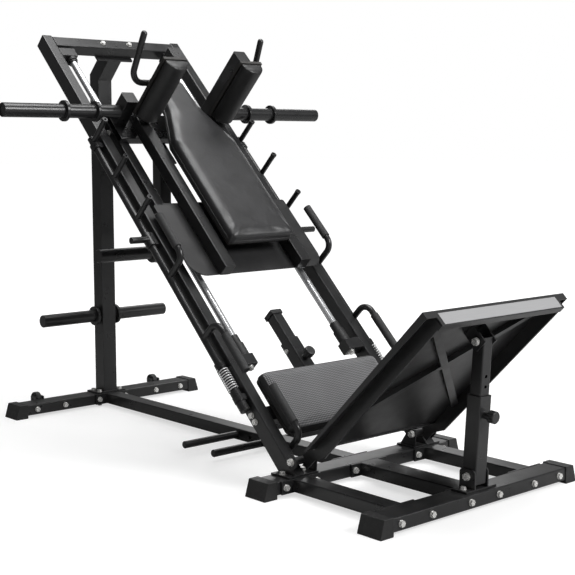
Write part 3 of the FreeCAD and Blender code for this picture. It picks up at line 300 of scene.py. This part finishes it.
def polished_chrome():
    """Hard chrome guide rods with a thin, uneven oil film, and part of their light grey laid on as
    diffuse paint: a painted reflection.
    """
    # Metallic 0.75 leaves a quarter of the chrome colour as diffuse paint: a painted reflection
    # that keeps the rods evenly light.
    material, shader = new_material("polished_chrome", metallic=0.75)
    film = noise(shader, 12.0, 2.0)
    plug(shader, "Base Color", blend_colours(shader, film, CHROME_AND_PAINTED_REFLECTION, OIL_FILM))
    plug(shader, "Roughness", remap(shader, film, 0.3, 0.7, 0.18, 0.26))
    return material


def spring_wire():
    """Bright drawn spring wire."""
    material, shader = new_material("spring_wire", metallic=0.35)
    drawn = noise(shader, 400.0, 3.0)
    plug(shader, "Base Color", blend_colours(shader, drawn, SPRING_BRIGHT, SPRING_DULL))
    plug(shader, "Roughness", remap(shader, drawn, 0.3, 0.7, 0.18, 0.30))
    plug(shader, "Normal", bump(shader, noise(shader, 2200.0, 1.0), 0.00005, 0.3))
    return material


def brushed_strip():
    """Plain brushed aluminium with a straight grain across the machine."""
    material, shader = new_material("brushed_strip", metallic=0.4)
    grain = noise(shader, 700.0, 3.0, place=stretched_place(shader, (0.02, 1.0, 1.0)))
    plug(shader, "Base Color", blend_colours(shader, grain, STRIP, STRIP_GRAIN))
    plug(shader, "Roughness", remap(shader, grain, 0.3, 0.7, 0.34, 0.48))
    plug(shader, "Normal", bump(shader, grain, 0.00008, 0.4, rounded_normal(shader, 0.0008)))
    return material


def moulded_rubber(name, colour, grain=420.0):
    """Moulded rubber with a fine leathery texture and scuffed edges."""
    material, shader = new_material(name)
    scuffs = maths(shader, "MULTIPLY", outside_edges(shader, 0.003), 0.7)
    dusty = maths(shader, "MULTIPLY", remap(shader, noise(shader, 40.0, 5.0), 0.45, 0.8), 0.25)
    base = blend_colours(shader, dusty, colour, [c * 2.6 for c in colour])
    plug(shader, "Base Color", blend_colours(shader, scuffs, base, SCUFF))
    plug(shader, "Roughness", remap(shader, noise(shader, 90.0, 4.0), 0.3, 0.7, 0.46, 0.62))
    texture = noise(shader, grain, 4.0)
    plug(shader, "Normal", bump(shader, texture, 0.00025, 0.6, rounded_normal(shader, 0.0025)))
    return material


def moulded_plastic():
    """Grained black plastic for knobs and tube plugs."""
    material, shader = new_material("moulded_plastic")
    tone = noise(shader, 60.0)
    plug(shader, "Base Color", blend_colours(shader, tone, PLASTIC, PLASTIC_PALE))
    plug(shader, "Roughness", remap(shader, noise(shader, 120.0, 4.0), 0.3, 0.7, 0.38, 0.52))
    grain = noise(shader, 800.0, 3.0)
    plug(shader, "Normal", bump(shader, grain, 0.00015, 0.5, rounded_normal(shader, 0.0018)))
    return material


def closed_cell_foam():
    """Dark foam grips with a pitted, dry skin."""
    material, shader = new_material("closed_cell_foam")
    cells = add(
        shader, "ShaderNodeTexVoronoi", {"Vector": object_place(shader), "Scale": 520.0}
    ).outputs["Distance"]
    plug(shader, "Base Color", blend_colours(shader, cells, FOAM, FOAM_PITS))
    plug(shader, "Roughness", remap(shader, noise(shader, 200.0, 4.0), 0.3, 0.7, 0.62, 0.82))
    shader.inputs["Sheen Weight"].default_value = 0.12
    plug(shader, "Normal", bump(shader, cells, 0.0002, 0.3, rounded_normal(shader, 0.003)))
    return material


def sewn_vinyl(name, colour, roughness=0.40):
    """Upholstery vinyl: pebbled grain, broad soft creases and a satin shine."""
    material, shader = new_material(name)
    tone = remap(shader, noise(shader, 11.0, 3.0), 0.3, 0.7)
    plug(shader, "Base Color", blend_colours(shader, tone, colour, [c * 1.4 for c in colour]))
    shine = noise(shader, 26.0, 4.0)
    plug(shader, "Roughness", remap(shader, shine, 0.3, 0.7, roughness - 0.05, roughness + 0.07))
    pebbles = add(
        shader,
        "ShaderNodeTexVoronoi",
        {"Vector": object_place(shader), "Scale": 620.0, "Randomness": 0.9},
        feature="SMOOTH_F1",
    ).outputs["Distance"]
    creases = noise(shader, 24.0, 2.0)
    fine = bump(shader, pebbles, 0.00022, 0.5)
    plug(shader, "Normal", bump(shader, creases, 0.0016, 0.35, fine))
    shader.inputs["Coat Weight"].default_value = 0.06
    shader.inputs["Coat Roughness"].default_value = 0.3
    return material


def dotted_weave():
    """Grey seat cloth: an even diagonal grid of raised knots over a dark ground."""
    material, shader = new_material("dotted_weave")
    tree = shader.id_data
    turned = add(
        shader,
        "ShaderNodeMapping",
        {"Vector": ramp_place(shader), "Rotation": (0.0, 0.0, SLOPE)},
    )
    flat = add(shader, "ShaderNodeSeparateXYZ")
    tree.links.new(turned.outputs["Vector"], flat.inputs[0])
    waves = []
    for axis in ("X", "Y"):
        turns = maths(shader, "MULTIPLY", flat.outputs[axis], 2.0 * math.pi / WEAVE_PITCH)
        waves.append(maths(shader, "SINE", turns, 0.0))
    product = maths(shader, "MULTIPLY", waves[0], waves[1])
    knots = remap(shader, product, -0.35, 0.55)
    fuzz = noise(shader, 1400.0, 2.0)
    mottled = maths(shader, "MULTIPLY", knots, remap(shader, fuzz, 0.2, 0.8, 0.75, 1.0))
    fading = remap(shader, noise(shader, 9.0, 3.0), 0.3, 0.7)
    faded = blend_colours(shader, fading, WEAVE_LIGHT, [c * 0.82 for c in WEAVE_LIGHT])
    plug(shader, "Base Color", blend_colours(shader, mottled, WEAVE_DARK, faded))
    shader.inputs["Roughness"].default_value = 0.82
    shader.inputs["Sheen Weight"].default_value = 0.25
    plug(shader, "Normal", bump(shader, mottled, 0.0006, 0.7))
    return material


def stained_board():
    """Black stained plywood with a faint long grain."""
    material, shader = new_material("stained_board")
    grain = noise(shader, 160.0, 5.0, place=ramp_place(shader, (1.0, 0.06, 1.0)))
    plug(shader, "Base Color", blend_colours(shader, grain, BOARD, BOARD_GRAIN))
    plug(shader, "Roughness", remap(shader, grain, 0.3, 0.7, 0.55, 0.75))
    plug(shader, "Normal", bump(shader, grain, 0.0002, 0.5, rounded_normal(shader, 0.001)))
    return material


def cad_finishes():
    """Which finish every record slot gets."""
    paint = powder_coat("frame_powder_coat", BLACK_PAINT)
    return {
        "frame_paint": paint,
        "carriage_paint": powder_coat("carriage_powder_coat", BLACK_PAINT, 0.29),
        "plate_paint": powder_coat("sheet_powder_coat", SHEET_PAINT, 0.36),
        "bolt_zinc": bright_zinc(),
        "rod_chrome": polished_chrome(),
        "spring_steel": spring_wire(),
        "trim_metal": brushed_strip(),
        "cap_rubber": moulded_rubber("foot_rubber", RUBBER),
        "bumper_rubber": moulded_rubber("bumper_rubber", RUBBER, 700.0),
        "wheel_rubber": moulded_rubber("wheel_rubber", RUBBER, 600.0),
        "plug_plastic": moulded_plastic(),
        "knob_plastic": moulded_plastic(),
        "bearing_plastic": moulded_plastic(),
        "grip_foam": closed_cell_foam(),
        "pad_vinyl": sewn_vinyl("back_vinyl", VINYL),
        "shoulder_vinyl": sewn_vinyl("shoulder_vinyl", SHOULDER_VINYL, 0.44),
        "seat_fabric": dotted_weave(),
        "pad_board": stained_board(),
    }


def bare_pin(piece, zinc):
    """Leave the bolt through the support post's inner tube in bright zinc."""
    piece.data.materials.append(zinc)
    for face in piece.data.polygons:
        if abs(face.center.x) > POST_TUBE_HALF:
            face.material_index = 1


def dress_frame(frame, finishes):
    """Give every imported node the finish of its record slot."""
    slots = {row["node"]: row["material_slot"] for row in frame["record"]["subparts"]}
    for name, piece in frame["nodes"].items():
        piece.data.materials.clear()
        piece.data.materials.append(finishes[slots[name]])
    bare_pin(frame["nodes"]["post_inner"], finishes["bolt_zinc"])


# --- Cushions -----------------------------------------------------------------


def activate(piece):
    """Make one object the active, selected one."""
    bpy.ops.object.select_all(action="DESELECT")
    piece.select_set(True)
    bpy.context.view_layer.objects.active = piece


def apply_modifier(piece, modifier):
    """Make a modifier's result the piece's own mesh."""
    activate(piece)
    bpy.ops.object.modifier_apply(modifier=modifier.name)


def copy_of(source, name):
    """A loose copy of a CAD node's mesh as a new piece."""
    piece = bpy.data.objects.new(name, source.data.copy())
    bpy.context.scene.collection.objects.link(piece)
    return piece


def shrink(piece, base_axis, amount):
    """Draw a solid in by a distance, except along its flat base."""
    activate(piece)
    solid = bmesh.new()
    solid.from_mesh(piece.data)
    bmesh.ops.remove_doubles(solid, verts=solid.verts, dist=0.00005)
    solid.normal_update()
    base = min(vertex.co.dot(base_axis) for vertex in solid.verts)
    moves = []
    for vertex in solid.verts:
        move = -vertex.normal * amount
        if vertex.co.dot(base_axis) < base + 0.001:
            move -= base_axis * move.dot(base_axis)
        moves.append(move)
    for vertex, move in zip(solid.verts, moves):
        vertex.co += move
    solid.to_mesh(piece.data)
    solid.free()


def voxel_remesh(piece, size):
    """Rebuild a piece as an even skin of small faces."""
    modifier = piece.modifiers.new("remesh", "REMESH")
    modifier.mode = "VOXEL"
    modifier.voxel_size = size
    modifier.use_smooth_shade = True
    apply_modifier(piece, modifier)


def hold_base(piece, base_axis, depth):
    """A vertex group that pins the cushion's flat base to its board."""
    heights = [vertex.co.dot(base_axis) for vertex in piece.data.vertices]
    base = min(heights)
    group = piece.vertex_groups.new(name="held")
    group.add([i for i, height in enumerate(heights) if height < base + depth], 1.0, "REPLACE")
    return group


def inflate(piece, base_axis, cap):
    """Blow the cover up with cloth simulation, then keep each point within a cap."""
    rest = [vertex.co.copy() for vertex in piece.data.vertices]
    held = hold_base(piece, base_axis, HELD_DEPTH)
    cloth = piece.modifiers.new("cloth", "CLOTH")
    settings = cloth.settings
    settings.use_pressure = True
    settings.uniform_pressure_force = COVER_PRESSURE
    settings.effector_weights.gravity = 0.0
    settings.vertex_group_mass = held.name
    settings.tension_stiffness = 18.0
    settings.compression_stiffness = 18.0
    settings.bending_stiffness = 1.2
    settings.quality = 5
    cloth.collision_settings.use_collision = False
    cloth.point_cache.frame_start = 1
    cloth.point_cache.frame_end = COVER_FRAMES
    for step in range(1, COVER_FRAMES + 1):
        bpy.context.scene.frame_set(step)
    apply_modifier(piece, cloth)
    bpy.context.scene.frame_set(1)
    for vertex, start in zip(piece.data.vertices, rest):
        move = vertex.co - start
        if move.length > cap:
            vertex.co = start + move.normalized() * cap


def smooth(piece):
    """Even out the small steps that remeshing leaves."""
    modifier = piece.modifiers.new("smooth", "SMOOTH")
    modifier.iterations = SMOOTH_ROUNDS
    modifier.factor = SMOOTH_FACTOR
    apply_modifier(piece, modifier)


def subdivide(piece):
    """Split each face once and shade the result smoothly."""
    modifier = piece.modifiers.new("subdivide", "SUBSURF")
    modifier.levels = 1
    modifier.render_levels = 1
    apply_modifier(piece, modifier)
    for face in piece.data.polygons:
        face.use_smooth = True


def padded(source, name, base_axis, body, cap, voxel=COVER_VOXEL):
    """A blown-up cushion in the space of a CAD solid."""
    piece = copy_of(source, name)
    shrink(piece, base_axis, COVER_INSET)
    voxel_remesh(piece, voxel)
    inflate(piece, base_axis, cap)
    smooth(piece)
    subdivide(piece)
    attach(piece, body)
    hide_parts(source.name)
    return piece


def section_loop(piece, point, normal):
    """The closed line where a plane cuts a cushion, as a list of points in order."""
    solid = bmesh.new()
    solid.from_mesh(piece.data)
    cut = bmesh.ops.bisect_plane(
        solid,
        geom=solid.verts[:] + solid.edges[:] + solid.faces[:],
        plane_co=point,
        plane_no=normal,
    )
    edges = [item for item in cut["geom_cut"] if isinstance(item, bmesh.types.BMEdge)]
    links = {}
    for edge in edges:
        for vertex, other in (edge.verts, reversed(edge.verts)):
            links.setdefault(vertex, []).append(other)
    first = max(links, key=lambda vertex: vertex.co.dot(UP_SLOPE))
    order = [first]
    seen = {first}
    while True:
        ahead = [vertex for vertex in links[order[-1]] if vertex not in seen]
        if not ahead:
            break
        order.append(ahead[0])
        seen.add(ahead[0])
    points = [vertex.co.copy() for vertex in order]
    solid.free()
    return points


def cord(points, radius, name):
    """A closed round cord along a list of points, as a mesh."""
    curve = bpy.data.curves.new(name, "CURVE")
    curve.dimensions = "3D"
    curve.bevel_depth = radius
    curve.bevel_resolution = 2
    line = curve.splines.new("POLY")
    line.points.add(len(points) - 1)
    for target, point in zip(line.points, points):
        target.co = (*point, 1.0)
    line.use_cyclic_u = True
    piece = bpy.data.objects.new(name, curve)
    bpy.context.scene.collection.objects.link(piece)
    activate(piece)
    bpy.ops.object.convert(target="MESH")
    piece = bpy.context.view_layer.objects.active
    for face in piece.data.polygons:
        face.use_smooth = True
    return piece


def evenly(points, gap):
    """Points spaced evenly along a closed line."""
    loop = points + [points[0]]
    spaced = [loop[0]]
    left = gap
    for start, end in zip(loop, loop[1:]):
        step = (end - start).length
        travelled = 0.0
        while step - travelled >= left:
            travelled += left
            spaced.append(start.lerp(end, travelled / step))
            left = gap
        left -= step - travelled
    return spaced


def relaxed(points):
    """Soften a closed line so that it doesn't show the mesh it was cut from."""
    count = len(points)
    for _ in range(WELT_SOFTENING):
        points = [
            (points[i - 1] + points[i] * 2.0 + points[(i + 1) % count]) / 4.0 for i in range(count)
        ]
    return points


def surface_top(source):
    """How far out of the slope a CAD cushion reaches."""
    return max(vertex.co.dot(OFF_SLOPE) for vertex in source.data.vertices)


def set_finishes(piece, *materials):
    """Give a piece these material slots and no others."""
    piece.data.materials.clear()
    for material in materials:
        piece.data.materials.append(material)


def piping(piece, level, radius, material, body):
    """A sewn welt round a cushion, at a level measured out of the slope."""
    line = relaxed(evenly(section_loop(piece, OFF_SLOPE * level, OFF_SLOPE), WELT_STEP))
    welt = cord(line, radius, piece.name + "_welt")
    welt.data.materials.append(material)
    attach(welt, body)


def back_cushion(frame, finishes):
    """The long back pad, crowned, with a welt round its sides."""
    source = frame["nodes"]["back_pad"]
    vinyl = finishes["pad_vinyl"]
    pad = padded(source, "back_cushion", OFF_SLOPE, "carriage", FLAT_CAP)
    set_finishes(pad, vinyl)
    seam = surface_top(source) - BACK_SEAM_DEPTH
    piping(pad, seam, WELT_RADIUS, vinyl, "carriage")


def shoulder_cushion(frame, finishes, side):
    """A D-shaped shoulder roll with a welt round its outer end."""
    source = frame["nodes"]["shoulder_pad_" + side]
    vinyl = finishes["shoulder_vinyl"]
    pad = padded(
        source,
        "shoulder_cushion_" + side,
        -UP_SLOPE,
        "carriage",
        SHOULDER_CAP,
        SHOULDER_VOXEL,
    )
    set_finishes(pad, vinyl)
    seam = surface_top(source) - SHOULDER_SEAM_DEPTH
    piping(pad, seam, WELT_RADIUS, vinyl, "carriage")


def seat_cushion(frame, finishes):
    """The seat pad: grey cloth on top, black vinyl sides, a welt between them."""
    source = frame["nodes"]["seat_pad"]
    vinyl = finishes["shoulder_vinyl"]
    pad = padded(source, "seat_cushion", OFF_SLOPE, "seat", FLAT_CAP)
    set_finishes(pad, vinyl, finishes["seat_fabric"])
    seam = surface_top(source) - SEAT_SEAM_DEPTH
    for face in pad.data.polygons:
        if face.center.dot(OFF_SLOPE) > seam:
            face.material_index = 1
    piping(pad, seam, SEAT_WELT_RADIUS, vinyl, "seat")


# --- Stage --------------------------------------------------------------------


def floor():
    """A plain pale floor far wider than the machine, lit to white away from its shadows."""
    mesh = bpy.data.meshes.new("floor")
    half = FLOOR_HALF
    corners = [(-half, -half, 0.0), (half, -half, 0.0), (half, half, 0.0), (-half, half, 0.0)]
    mesh.from_pydata(corners, [], [(0, 1, 2, 3)])
    plane = bpy.data.objects.new("floor", mesh)
    bpy.context.scene.collection.objects.link(plane)
    material, shader = new_material("floor_paint")
    speckle = noise(shader, 3.0, 3.0)
    plug(shader, "Base Color", blend_colours(shader, speckle, FLOOR, [c * 0.99 for c in FLOOR]))
    shader.inputs["Roughness"].default_value = 0.7
    shader.inputs["Specular IOR Level"].default_value = 0.1
    shader.inputs["Emission Color"].default_value = (1.0, 1.0, 1.0, 1.0)
    seen = add(shader, "ShaderNodeLightPath").outputs["Is Camera Ray"]
    away = add(shader, "ShaderNodeVectorMath", {0: object_place(shader)}, operation="LENGTH")
    distance = away.outputs["Value"]
    glow = remap(shader, distance, FLOOR_GLOW_FROM, FLOOR_GLOW_TO, FLOOR_GLOW, 1.0)
    plug(shader, "Emission Strength", maths(shader, "MULTIPLY", seen, glow))
    mesh.materials.append(material)


def soft_light(name, place, size, power):
    """A large rectangular studio light aimed at the middle of the machine."""
    lamp = bpy.data.lights.new(name, "AREA")
    lamp.shape = "RECTANGLE"
    lamp.size, lamp.size_y = size
    lamp.energy = power
    light = bpy.data.objects.new(name, lamp)
    light.location = place
    light.rotation_euler = (Vector(MIDDLE) - Vector(place)).to_track_quat("-Z", "Y").to_euler()
    bpy.context.scene.collection.objects.link(light)


def studio():
    """White surroundings: the lens sees plain white while the fill light stays low."""
    world = bpy.data.worlds.new("studio")
    world.use_nodes = True
    tree = world.node_tree
    background = tree.nodes["Background"]
    background.inputs["Color"].default_value = (1.0, 1.0, 1.0, 1.0)
    seen = tree.nodes.new("ShaderNodeLightPath")
    level = tree.nodes.new("ShaderNodeMapRange")
    level.inputs["To Min"].default_value = FILL
    level.inputs["To Max"].default_value = 1.0
    tree.links.new(seen.outputs["Is Camera Ray"], level.inputs["Value"])
    tree.links.new(level.outputs["Result"], background.inputs["Strength"])
    bpy.context.scene.world = world
    for light in LIGHTS:
        soft_light(*light)


def camera():
    """A long lens, slightly above the machine, near its left front corner."""
    lens = bpy.data.cameras.new("camera")
    lens.sensor_width = SENSOR_WIDTH
    lens.lens = LENS
    lens.shift_x, lens.shift_y = LENS_SHIFT
    lens.clip_end = FAR_CLIP
    eye = bpy.data.objects.new("camera", lens)
    turn = Matrix.Rotation(math.radians(EYE_HEADING), 4, "Z")
    tilt = Matrix.Rotation(math.radians(90.0 - EYE_DIP), 4, "X")
    roll = Matrix.Rotation(math.radians(EYE_ROLL), 4, "Z")
    eye.matrix_world = Matrix.Translation(EYE) @ turn @ tilt @ roll
    bpy.context.scene.collection.objects.link(eye)
    bpy.context.scene.camera = eye
    bpy.context.scene.view_settings.view_transform = "Standard"


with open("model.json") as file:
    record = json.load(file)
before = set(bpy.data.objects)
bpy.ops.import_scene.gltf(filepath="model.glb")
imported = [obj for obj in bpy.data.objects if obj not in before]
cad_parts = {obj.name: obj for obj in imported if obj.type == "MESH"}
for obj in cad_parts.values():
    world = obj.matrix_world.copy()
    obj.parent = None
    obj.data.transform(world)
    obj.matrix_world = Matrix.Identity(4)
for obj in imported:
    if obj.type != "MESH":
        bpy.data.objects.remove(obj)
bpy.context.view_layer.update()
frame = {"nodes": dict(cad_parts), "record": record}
finishes = cad_finishes()
dress_frame(frame, finishes)
back_cushion(frame, finishes)
shoulder_cushion(frame, finishes, "left")
shoulder_cushion(frame, finishes, "right")
seat_cushion(frame, finishes)
floor()
studio()
camera()
